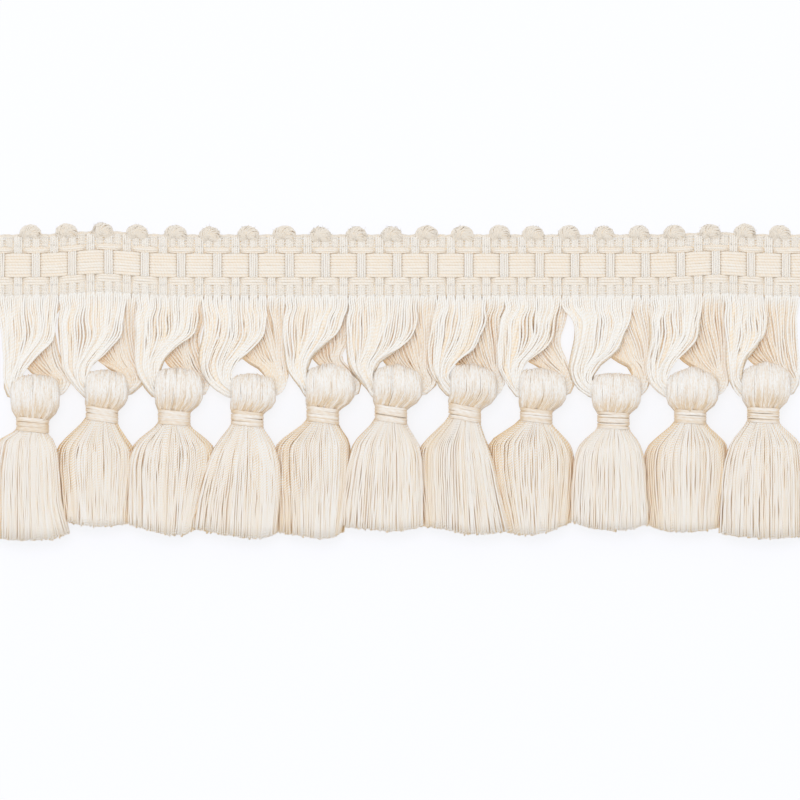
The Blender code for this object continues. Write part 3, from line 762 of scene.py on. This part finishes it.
def front_rows(index, roots, even, rng):
    """The rows that the front yarns of one group pass through, from the heading into the tassel's head, and
    how far up each yarn lies among the others, from -1 to 1."""
    front, tassel = FRONTS[index], TASSELS[index]
    share = np.clip((even - front.first) / (front.last - front.first), 0.0, 1.0)
    drawn = gathered(share, 5.5, 0.14, rng.uniform())
    off = drawn - front.crease
    apart = front.gap / 10 * np.tanh(off * 14) * np.exp(-((off * 3) ** 2))
    rise, level = lift(roots), rng.uniform(-1.0, 1.0, len(roots))
    rows = [
        np.stack([roots, HEADING_FOOT + 0.35 + rise, np.full(len(roots), 1.28)], -1),
        np.stack([even, -8.5 + rise, 1.3 + 0.1 * level], -1),
        np.stack([even * 0.97 + 0.03 * tassel.middle, -10.4 + rise, 1.75 + 0.2 * level], -1),
    ]
    heights, deep = (2.5, 3.1, 3.4, 3.6, 3.7), (0.2, 0.28, 0.36, 0.42, 0.45)
    mixes, parts = (0.6, 0.9, 1.0, 0.9, 0.7), (0.4, 1.0, 1.0, 0.5, 0.1)
    for row, (y, z) in enumerate(zip(OUTER_HEIGHTS, heights)):
        outer = (tassel.middle + front.outer[row], y, z - 0.2)
        inner = (tassel.middle + front.inner[row][0], front.inner[row][1], z + 0.2)
        place = share * (1 - mixes[row]) + drawn * mixes[row] + apart * parts[row]
        line = between(outer, inner, place)
        line[:, 2] += deep[row] * level + 0.5 * (1 - (2 * share - 1) ** 2)
        rows.append(line)
    ends = (
        ((tassel.left + 0.2, -31.6, 3.6), (tassel.left + 0.6, -28.2, 4.3)),
        ((tassel.left + 3.0, -31.4, 3.4), (tassel.left + 3.0, -28.6, 4.0)),
    )
    return rows + into_head(tassel, ends, share, level), level


def first_root(index):
    """Where along the heading the back layer of one group starts: where the one before it ends."""
    return FIRST_ROOT if index == 0 else BACKS[index - 1].last


def back_rows(index, roots, even, rng):
    """The rows that the back yarns of one group pass through, from the heading into the head's right side,
    and how far up each yarn lies among the others, from -1 to 1."""
    back, tassel = BACKS[index], TASSELS[index]
    first = first_root(index)
    share = np.clip((even - first) / (min(back.last, LAST_ROOT) - first), 0.0, 1.0)
    drawn = gathered(share, 6.0, 0.28, rng.uniform())
    rise = lift(roots)
    level = rng.uniform(0.3, 1.0, len(roots)) * np.where(np.arange(len(roots)) % 2, 1.0, -1.0)
    (x1, y1), (x2, y2) = back.fan
    bare = ~np.any([(roots >= front.first) & (roots <= front.last) for front in FRONTS], axis=0)
    drawn_in = even * 0.98 + 0.02 * tassel.middle
    rows = [
        np.stack([np.where(bare, roots, even), HEADING_FOOT + 0.3 + rise, np.where(bare, 1.3, 0.6)], -1),
        np.stack([even, -8.4 + rise, np.where(bare, 1.35, 0.65) + 0.05 * level], -1),
        np.stack([drawn_in, -10.4 + rise, np.where(bare, 1.1, 0.8) + 0.15 * level], -1),
    ]
    lower = ((-6.8, -14.4), (x1 - 2.3, y1 + 2.6), (x1, y1), (x2, y2), (5.0, -26.8))
    heights, rims, deep = (0.85, 0.95, 1.2, 1.7, 2.5), (1.1, 1.15, 1.3, 1.6, 2.4), (0.2, 0.25, 0.3, 0.45, 0.5)
    for row, y in enumerate(REACH_HEIGHTS):
        inner = (tassel.middle + lower[row][0], lower[row][1], heights[row])
        outer = (tassel.middle + back.reach[row], y, rims[row])
        line = between(inner, outer, drawn if row < 4 else share)
        line[:, 2] += deep[row] * level
        rows.append(line)
    ends = (
        ((tassel.right - 0.9, -28.6, 3.3), (tassel.right + 0.2, -31.0, 3.0)),
        ((tassel.right - 3.4, -28.8, 3.6), (tassel.right - 3.2, -31.0, 3.3)),
    )
    return rows + into_head(tassel, ends, share, level), level


# The two layers of a group: how far their yarns stray, how much painted shade they take on the left and on
# the right, and how much painted shade the flat filling yarns under them take, and how wide these are.
Layer = namedtuple("Layer", "piece make_rows stray warmth filling_warmth filling_width")
LAYERS = (
    Layer("loops_front", front_rows, 0.16, (0.0, 0.0), 0.36, 2.3),
    Layer("loops_back", back_rows, 0.14, (0.45, 0.05), 0.42, 2.0),
)
# How far down the filling yarns lie at each of their rows.
FILLING_DROPS = (0.25, 0.3, 0.3, 0.32, 0.36, 0.4, 0.45, 0.45, 0.4, 0.3)
FILLING_STEPS = 16


class TRIM_OT_hang_loops(bpy.types.Operator):
    """Run the weft yarns on below the heading as crossed loops, a front and a back layer to each tassel"""

    bl_idname = "trim.hang_loops"
    bl_label = "Hang Loops"

    def execute(self, context):
        sizes, colours = context.scene.trim_sizes, context.scene.trim_colours
        roots, bars = weft_roots()
        even = bar_middle(bars) + (roots - bar_middle(bars)) * 1.17
        roots = bar_middle(bars) + (roots - bar_middle(bars)) * 0.86
        # The same twisted yarn as the weft, hanging free: rounder, silkier and a little looser in its twist.
        # Its darker colour is painted shade in the creases, in the valleys of its plies and on its sides.
        yarn = yarn_material("loose_twist_yarn", colours.yarn, colours.yarn_tone_and_crease_shade, Spin(
            plies=2, twist=1.8, depth=0.015, contrast=0.14, speck=0.8, roughness=0.45, sheen=0.1,
            grain=(3.0, 1.0), flank=0.25,
        ))
        parts = {layer.piece: [] for layer in LAYERS}
        for index, (front, back) in enumerate(zip(FRONTS, BACKS)):
            rng = np.random.default_rng(300 + index)
            ahead = (roots >= front.first) & (roots <= front.last)
            behind = (roots > first_root(index)) & (roots <= back.last)
            for layer, chosen in zip(LAYERS, (ahead, behind)):
                parts[layer.piece] += self.lay_group(index, layer, roots[chosen], even[chosen], sizes, rng)
        for name, yarns in parts.items():
            piece = joined(name, yarns, yarn)
            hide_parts("loop_fringe")
        return {"FINISHED"}

    def lay_group(self, index, layer, roots, even, sizes, rng):
        """The yarns of one layer of a group, and the filling yarns that lie under every second one."""
        rows, level = layer.make_rows(index, roots, even, rng)
        yarns = self.lay(rows, level, sizes, layer.stray, np.linspace(*layer.warmth, len(level)), rng)
        rows, level = layer.make_rows(index, roots[1:-2:2] + 0.2, even[1:-2:2] + 0.2, rng)
        rows = [row - (0.0, 0.0, drop) for row, drop in zip(rows, FILLING_DROPS)]
        # The filling yarns show only in the gaps between the others: their colour is painted shade.
        painted_shade = np.full(len(level), layer.filling_warmth)
        filling = self.lay(rows, level, sizes, 0.1, painted_shade, rng, FILLING_STEPS, 4, layer.filling_width)
        return [yarns, filling]

    def lay(self, rows, level, sizes, stray, tucked, rng, steps=30, sides=5, flat=1.0):
        """Yarns that stray a little between the heading and the head, and take painted shade where they are
        tucked or sunk under others. Filling yarns have fewer steps and are flattened to this many times their
        width."""
        count = len(rows[0])
        paths = through(rows, steps)
        settle = ease(np.linspace(-0.15, 1.0, steps) * 3.0) * ease(np.linspace(1.0, 0.0, steps) * 6.0)
        order, along = np.linspace(0.0, 1.5, count)[:, None], np.linspace(0.0, 1.3, steps)[None, :]
        paths[..., 0] += 0.4 * settle * np.sin(2 * np.pi * (order + along + rng.uniform()))
        for axis, share in ((0, 1.0), (1, 0.6), (2, 1.2)):
            paths[..., axis] += stray * share * settle * wander(rng, count, steps, 2.1)
        if steps > FILLING_STEPS:
            paths[..., 0] += 0.09 * settle * wander(rng, count, steps, 4.5)
        thin, full = sizes.weft_yarn / MM / 2, sizes.loop_yarn / MM / 2
        paths[..., 2] = np.maximum(paths[..., 2], 0.37)
        width = thin + (full - thin) * ease(np.linspace(0.0, 6.0, steps))
        grow = rng.normal(1.0, 0.06, (count, 1)) * width[None, :]
        # Painted shade, away from each yarn's two ends, for tucked and sunk yarns, on top of tone that varies
        # at random.
        painted_shade = ease(np.linspace(-0.3, 5.0, steps)) * ease(np.linspace(8.0, 0.0, steps))
        painted_sunk_shade = 0.2 * ease((0.1 - level) / 0.8)
        tints = rng.uniform(-0.08, 0.08, (count, 1)) + (tucked + painted_sunk_shade)[:, None] * painted_shade[None, :]
        return strands(paths, grow * flat, sides, tints, squash=1.0 / flat)


# ---------------------------------------------------------------------------- tassels

# A head's width and depth, as shares of the most, at these shares of the way from its fold to its binding.
HEAD_SHARES = (0.0, 0.06, 0.14, 0.28, 0.46, 0.64, 0.8, 0.92, 1.0)
HEAD_WIDTHS = (0.82, 0.89, 0.95, 0.99, 1.0, 0.985, 0.94, 0.85, 0.76)
HEAD_DEPTHS = (0.15, 0.48, 0.72, 0.93, 1.0, 0.99, 0.94, 0.86, 0.8)
HEAD_DEPTH = 3.35


def head_point(tassel, across, share, front, inset=0.0):
    """A point on a head: across from -1 to 1, share from its fold to its binding, front or back."""
    across, share, front = np.broadcast_arrays(np.asarray(across, float), share, front)
    fold = np.interp(across, (-1.0, 0.0, 1.0), (tassel.fold_left, tassel.fold, tassel.fold_right))
    fold = fold - 0.45 * np.abs(across) ** 4
    foot = tassel.tie - 0.5 + tassel.slope * across / 2
    widest = (tassel.right - tassel.left) / 2
    middle = (tassel.right + tassel.left) / 2
    half = np.interp(share, HEAD_SHARES, HEAD_WIDTHS) * widest - inset
    lean = middle + (TIE_SHIFT - middle) * ease((share - 0.66) / 0.34)
    narrow = (TIE_HALF_WIDTH - 0.35) / (HEAD_WIDTHS[-1] * widest)
    half = half * (1 + (narrow - 1) * ease((share - 0.7) / 0.3))
    depth = np.interp(share, HEAD_SHARES, HEAD_DEPTHS) * HEAD_DEPTH - inset
    open_side = 0.3 * (1 - ease((share - 0.55) / 0.3))
    rim = open_side + (1 - open_side) * np.sqrt(np.clip(1 - across**2, 0.0, 1.0))
    return np.stack([
        tassel.middle + lean + half * across,
        fold + (foot - fold) * share - inset * (share < 0.1),
        BODY_HEIGHT + front * depth * rim,
    ], -1)


def head_parts(tassel, sizes, rng):
    """The floss of one head, over the loops and down both sides to the binding, and the core under it."""
    count = 120
    angle = np.linspace(-1.45, 1.45, count) + rng.normal(0.0, 0.008, count)
    across = np.sin(angle)
    down = np.array([1.0, 0.92, 0.8, 0.63, 0.45, 0.28, 0.14, 0.05, 0.01])
    share = np.concatenate([down, down[::-1]])
    side = np.concatenate([-np.ones(len(down)), np.ones(len(down))])
    twist = 0.018 * wander(rng, count, len(share), 1.2)
    paths = head_point(tassel, across[:, None] + twist, share[None, :], side[None, :])
    pleats = sum(
        rng.uniform(0.4, 1.0) * np.sin(across * pace + rng.uniform(*ANY_PHASE)) for pace in (7.0, 12.0, 19.0)
    )
    pleated = 0.2 * ease((share[None, :] - 0.5) / 0.45) * pleats[:, None]
    depth = pleated + 0.09 * wander(rng, count, len(share), 2.2)
    paths[..., 2] += depth * side[None, :]
    paths[..., 1] += rng.normal(0.0, 0.12, (count, 1)) * (1 - share[None, :]) ** 3
    # Painted shade near the binding and under the fold, deepest in the pleats near the binding; the rest is
    # tone that varies at random.
    painted_shade = 0.6 * ease((share - 0.5) / 0.45) + 0.12 * ease((0.2 - share) / 0.2)
    pleat_shade = sum(np.sin(across * pace + rng.uniform(*ANY_PHASE)) for pace in (17.0, 31.0))
    pleat_shade = 0.5 + 0.25 * pleat_shade
    tints = rng.uniform(-0.3, 0.42, (count, len(share))) + painted_shade[None, :] * (0.35 + 1.2 * pleat_shade[:, None])
    floss = strands(paths, sizes.floss / MM / 2, 4, tints, (1.0, 0.0, 0.0))

    def place(share, angle):
        across = math.cos(angle) * math.sin(math.pi * min(max(share, 0.12), 0.88)) ** 0.35
        front = math.sin(angle)
        point = head_point(tassel, across, 0.03 + 0.97 * share, 1.0, 0.22)
        point[2] = BODY_HEIGHT + (point[2] - BODY_HEIGHT) * front
        return point if 0.01 < share < 0.99 else (tassel.middle + TIE_SHIFT, point[1], BODY_HEIGHT)

    # The core, seen between the strands, is painted near the shade colour.
    return [floss, core_part(place, rings=14, sides=22, tone_and_shade=0.9)]


def skirt_rows(index, across, out, hem_shift):
    """The rows that the threads of one skirt pass through. Across and out give each thread's place in a round
    section, across from -1 to 1 and out from -1 at the back to 1 at the front."""
    tassel, skirt = TASSELS[index], SKIRTS[index]
    side = np.where(across < 0, skirt.left_over, skirt.right_over)
    lean = np.where(side > 0, 0.75, -1.35) * np.abs(across) ** 2.2
    foot = tassel.tie + tassel.slope * across / 2
    hem = np.interp(across, (-1.0, -0.5, 0.0, 0.5, 1.0), skirt.hem) + hem_shift
    rows = []
    for y, half, depth in ((foot - 1.2, 3.35, 2.55), (foot - tassel.length + 0.1, 3.6, 2.75)):
        x = tassel.middle + TIE_SHIFT + half * across
        rows.append(np.stack([x, y, BODY_HEIGHT + depth * out], -1))
    for level, (y, depth) in enumerate(zip(SKIRT_HEIGHTS, SKIRT_DEPTHS)):
        left, right = skirt.left[level], skirt.right[level]
        middle = TIE_SHIFT + 0.3 * ((left + right) / 2 - TIE_SHIFT)
        x = tassel.middle + middle + (right - left) / 2 * across + ((left + right) / 2 - middle) * across**2
        spread = ease((level + 1.0) / 3.0)
        z = 0.22 + depth + depth * out * (1 - 0.12 * spread) + lean * spread * (1 - 0.1 * level)
        down = np.full(len(across), y)
        if y == SKIRT_HEIGHTS[-1]:
            x = x + (x - rows[-1][:, 0]) * (hem - y) / (y - SKIRT_HEIGHTS[-2])
            down = hem
        rows.append(np.stack([x, down, np.maximum(z, 0.25)], -1))
    return rows


# The shells of threads in a skirt: how many, how far out, at the front (1) or the back (-1), the places along
# each thread and round it.
Shell = namedtuple("Shell", "count reach front steps sides")
SHELLS = (
    Shell(46, 1.0, 1, 18, 4), Shell(48, 0.95, 1, 18, 4), Shell(44, 0.89, 1, 12, 3), Shell(40, 1.0, -1, 12, 3),
)
# A shell with less reach than this lies inside the others.
INNER_REACH = 0.92

# Short ends of thread fill the hem between the shells: how many, the steps of the whole thread and of its
# end, and the end's radius as a share of a thread's diameter.
HEM_ENDS, WHOLE_STEPS, END_STEPS, END_GIRTH = 84, 24, 4, 0.68
CORE_STEPS = 30


def skirt_parts(index, sizes, rng):
    """The threads of one skirt, shell by shell, and the core that they hide."""
    skirt = SKIRTS[index]
    parts = []
    for shell in SHELLS:
        inner, count = shell.reach < INNER_REACH, shell.count
        even = (2 * (np.arange(count) + rng.uniform(0.3, 0.7, count)) / count - 1) * 0.99
        across = 0.6 * even + 0.4 * np.sin(np.pi / 2 * even)
        out = shell.front * np.clip(1 - across**2, 0.0, 1.0) ** 0.45
        proud = shell.reach * rng.normal(1.0, 0.018, count)
        across, out = across * proud, out * proud
        rows = skirt_rows(index, across, out, rng.normal(0.0, 1.0, count) * (0.25 if inner else 0.14))
        paths = through(rows, shell.steps)
        loose = np.linspace(0.0, 1.0, shell.steps)[None, :] ** 0.7
        paths[..., 0] += 0.2 * loose * wander(rng, count, shell.steps, 2.5)
        paths[..., 2] += 0.14 * loose * wander(rng, count, shell.steps, 1.5)
        if shell.front < 0:
            paths[..., 0] += 0.55 * across[:, None] * loose
        paths[..., 2] = np.maximum(paths[..., 2], 0.3)
        swell = np.interp(np.linspace(0.0, 1.0, shell.steps), (0.0, 0.15, 0.4, 1.0), (0.5, 0.6, 1.0, 1.0))
        radius = sizes.skirt_thread / MM / 2 * rng.normal(1.0, 0.07, (count, 1)) * swell
        # Painted shade where a side lies under the next skirt, and on the inner and back shells, which show
        # only in the gaps; the rest is tone that varies at random.
        under = np.where(across < 0, skirt.left_over, skirt.right_over) < 0
        tints = rng.uniform(-0.85, -0.15, count) + np.where(under, 1.2 * np.abs(across) ** 4, 0.0)
        tints = tints + (1.1 if inner or shell.front < 0 else 0.1 if shell.reach < 1 else 0.0)
        parts.append(strands(paths, radius, shell.sides, tints))

    across = rng.uniform(-0.88, 0.88, HEM_ENDS)
    out = rng.uniform(-0.85, 0.85, HEM_ENDS) * (1 - across**2) ** 0.45
    rows = skirt_rows(index, across, out, rng.normal(0.1, 0.25, HEM_ENDS))
    ends = through(rows, WHOLE_STEPS)[:, -END_STEPS:]
    ends[..., 2] = np.maximum(ends[..., 2], 0.4)
    # The short ends lie among the shells and are painted part way to the shade colour, by a random amount.
    parts.append(strands(ends, sizes.skirt_thread / MM * END_GIRTH, 3, rng.uniform(0.2, 0.8, HEM_ENDS)))

    def place(share, angle):
        shrink = 0.86 * math.sin(math.pi * min(max(share, 0.1), 0.9)) ** 0.25
        across = np.array([math.cos(angle) * shrink])
        out = np.array([math.sin(angle) * shrink])
        path = through(skirt_rows(index, across, out, 1.2), CORE_STEPS)[0]
        return path[round(min(share, 1.0) * (CORE_STEPS - 1))]

    # The core, seen only through the gaps, is painted near the shade colour.
    return [*parts, core_part(place, rings=14, sides=16, tone_and_shade=0.8)]


class TRIM_OT_fold_tassels(bpy.types.Operator):
    """Fold the floss of each tassel over its loops and let its skirt of threads fall"""

    bl_idname = "trim.fold_tassels"
    bl_label = "Fold Tassels"

    def execute(self, context):
        sizes, colours = context.scene.trim_sizes, context.scene.trim_colours
        # Rayon floss, unspun: the smoothest yarn of the trim, with a silky line of light along each strand
        # and a little painted shade on its sides.
        floss = yarn_material("rayon_floss", colours.floss, colours.floss_shade, Spin(
            plies=1, twist=9.0, depth=0.012, contrast=0.1, speck=2.6, roughness=0.28, sheen=0.1,
            grain=(2.0, 0.9), flank=0.2,
        ))
        # Two-ply rayon thread, firmly twisted: small bright beads where each ply turns up, from its bump and
        # gloss and from painted shade in the valleys between them, and painted shade on its sides.
        thread = yarn_material("two_ply_thread", colours.floss, colours.yarn_tone_and_crease_shade, Spin(
            plies=2, twist=1.3, depth=0.03, contrast=1.1, speck=0.6, roughness=0.35, sheen=0.1,
            grain=(3.0, 1.1), flank=1.8,
        ))
        for index, tassel in enumerate(TASSELS):
            rng = np.random.default_rng(400 + index)
            head = joined(f"head_{index + 1:02d}", head_parts(tassel, sizes, rng), floss)
            skirt = joined(f"skirt_{index + 1:02d}", skirt_parts(index, sizes, rng), thread)
            for piece in (head, skirt):
                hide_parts(f"tassel_{index + 1:02d}")
        return {"FINISHED"}


STRANDS_PER_TURN = 3


class TRIM_OT_bind_tassels(bpy.types.Operator):
    """Wind the binding thread round the neck of each tassel"""

    bl_idname = "trim.bind_tassels"
    bl_label = "Bind Tassels"

    def execute(self, context):
        colours = context.scene.trim_colours
        # Soft rayon binding thread, wound wet and flat: three fine strands lie side by side in each turn,
        # with painted shade on their sides.
        thread = yarn_material("binding_thread", colours.floss, colours.floss_shade, Spin(
            plies=1, twist=6.0, depth=0.015, contrast=0.06, speck=1.3, roughness=0.35, sheen=0.1,
            grain=(2.0, 0.5), flank=0.5,
        ))
        for index, tassel in enumerate(TASSELS):
            rng = np.random.default_rng(500 + index)
            piece = joined(f"binding_{index + 1:02d}", [self.wind(tassel, rng)], thread)
            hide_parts(f"tie_{index + 1:02d}")
        return {"FINISHED"}

    def wind(self, tassel, rng):
        """The turns of one binding: each is three fine strands round the neck, and the turns slope."""
        turns, steps = tassel.turns, 29
        pitch = tassel.length / turns
        fine = pitch / STRANDS_PER_TURN
        angle = np.linspace(0.0, 2 * np.pi, steps)[None, :]
        turn = np.repeat(np.arange(turns), STRANDS_PER_TURN)[:, None]
        place = np.tile(np.arange(STRANDS_PER_TURN) - 1.0, turns)[:, None]
        level = tassel.tie - pitch * (turn + 0.5) + place * fine * 0.9
        level = level + 0.12 * wander(rng, turns, steps, 1.0)[turn[:, 0]]
        level = level + 0.03 * wander(rng, len(turn), steps, 2.0)
        swell = 0.06 - 0.06 * place**2
        half = TIE_HALF_WIDTH - 0.25 + swell
        deep = 3.02 + swell
        flat = np.sign(np.cos(angle)) * np.abs(np.cos(angle)) ** 0.8
        out = np.sign(np.sin(angle)) * np.abs(np.sin(angle)) ** 0.8
        x = tassel.middle + TIE_SHIFT + half * flat
        paths = np.stack([x, level + tassel.slope * flat / 2, BODY_HEIGHT + deep * out], -1)
        # Painted shade on each turn's sides, where it wraps round out of the light, on top of tone that
        # varies from strand to strand.
        tints = rng.uniform(0.1, 0.6, (len(turn), 1)) + 0.6 * np.abs(flat) ** 6
        return strands(paths, fine * 0.73, 5, tints, (0.0, 1.0, 0.0))


# ------------------------------------------------------------------------------ stage

# The camera looks straight down through a long lens, at a view this wide with its middle this far across.
VIEW_WIDTH, VIEW_MIDDLE = 193.04, -32.33
SENSOR_WIDTH, FOCAL_LENGTH = 36.0, 400.0
SKY_COLOUR, SKY_STRENGTH = (0.99, 0.995, 1.0, 1.0), 0.785
KEY_PLACE, KEY_AIM, KEY_SIZE, KEY_POWER = (-0.15, 0.35, 1.2), (0.0, -0.03, 0.0), 0.8, 4.0


class TRIM_OT_set_stage(bpy.types.Operator):
    """Set the white floor, the soft studio light and the camera straight above"""

    bl_idname = "trim.set_stage"
    bl_label = "Set Stage"

    def execute(self, context):
        scene = context.scene
        self.lay_floor(scene.trim_colours)
        world = bpy.data.worlds.new("studio")
        scene.world = world
        world.use_nodes = True
        sky = world.node_tree.nodes["Background"].inputs
        sky["Color"].default_value = SKY_COLOUR
        sky["Strength"].default_value = SKY_STRENGTH
        self.hang_key(scene)
        self.hang_camera(scene)
        scene.view_settings.view_transform = "Standard"
        scene.view_settings.gamma = 1.2
        scene.cycles.diffuse_bounces = 8
        return {"FINISHED"}

    def lay_floor(self, colours):
        """A floor far wider than the view."""
        bm = bmesh.new()
        bmesh.ops.create_grid(bm, x_segments=8, y_segments=8, size=2500.0)
        from_bmesh("floor", bm, board_material(colours))

    def hang_key(self, scene):
        """A soft round light high up, beyond the gimp edge and to the left."""
        lamp = bpy.data.lights.new("key", "AREA")
        lamp.shape = "DISK"
        lamp.size = KEY_SIZE
        lamp.energy = KEY_POWER
        light = bpy.data.objects.new("key", lamp)
        light.location = KEY_PLACE
        direction = np.array(KEY_AIM) - np.array(KEY_PLACE)
        light.rotation_euler = (
            math.acos(-direction[2] / np.linalg.norm(direction)), 0.0,
            math.atan2(direction[1], direction[0]) - math.pi / 2,
        )
        scene.collection.objects.link(light)

    def hang_camera(self, scene):
        """A camera so high that the long lens takes in just the view's width."""
        lens = bpy.data.cameras.new("camera")
        lens.sensor_width = SENSOR_WIDTH
        lens.lens = FOCAL_LENGTH
        lens.clip_start, lens.clip_end = 0.01, 20.0
        camera = bpy.data.objects.new("camera", lens)
        camera.location = (0.0, VIEW_MIDDLE * MM, VIEW_WIDTH * MM / SENSOR_WIDTH * FOCAL_LENGTH)
        scene.collection.objects.link(camera)
        scene.camera = camera


class TRIM_PT_panel(bpy.types.Panel):
    """The steps of the trim, with its sizes and colours"""

    bl_idname = "TRIM_PT_panel"
    bl_label = "Tassel Fringe Trim"
    bl_space_type = "VIEW_3D"
    bl_region_type = "UI"
    bl_category = "Trim"

    def draw(self, context):
        for group in (context.scene.trim_sizes, context.scene.trim_colours):
            for name in group.__annotations__:
                self.layout.prop(group, name)
        for step in STEPS:
            self.layout.operator(step.bl_idname)


STEPS = (
    TRIM_OT_weave_heading,
    TRIM_OT_lay_gimp_edge,
    TRIM_OT_hang_loops,
    TRIM_OT_fold_tassels,
    TRIM_OT_bind_tassels,
    TRIM_OT_set_stage,
)
CLASSES = (TrimSizes, TrimColours, *STEPS, TRIM_PT_panel)


def register():
    for cls in CLASSES:
        bpy.utils.register_class(cls)
    bpy.types.Scene.trim_sizes = bpy.props.PointerProperty(type=TrimSizes)
    bpy.types.Scene.trim_colours = bpy.props.PointerProperty(type=TrimColours)


def unregister():
    del bpy.types.Scene.trim_sizes
    del bpy.types.Scene.trim_colours
    for cls in reversed(CLASSES):
        bpy.utils.unregister_class(cls)


def main():
    register()
    bpy.ops.trim.weave_heading()
    bpy.ops.trim.lay_gimp_edge()
    bpy.ops.trim.hang_loops()
    bpy.ops.trim.fold_tassels()
    bpy.ops.trim.bind_tassels()
    bpy.ops.trim.set_stage()


if __name__ == "__main__":
    main()
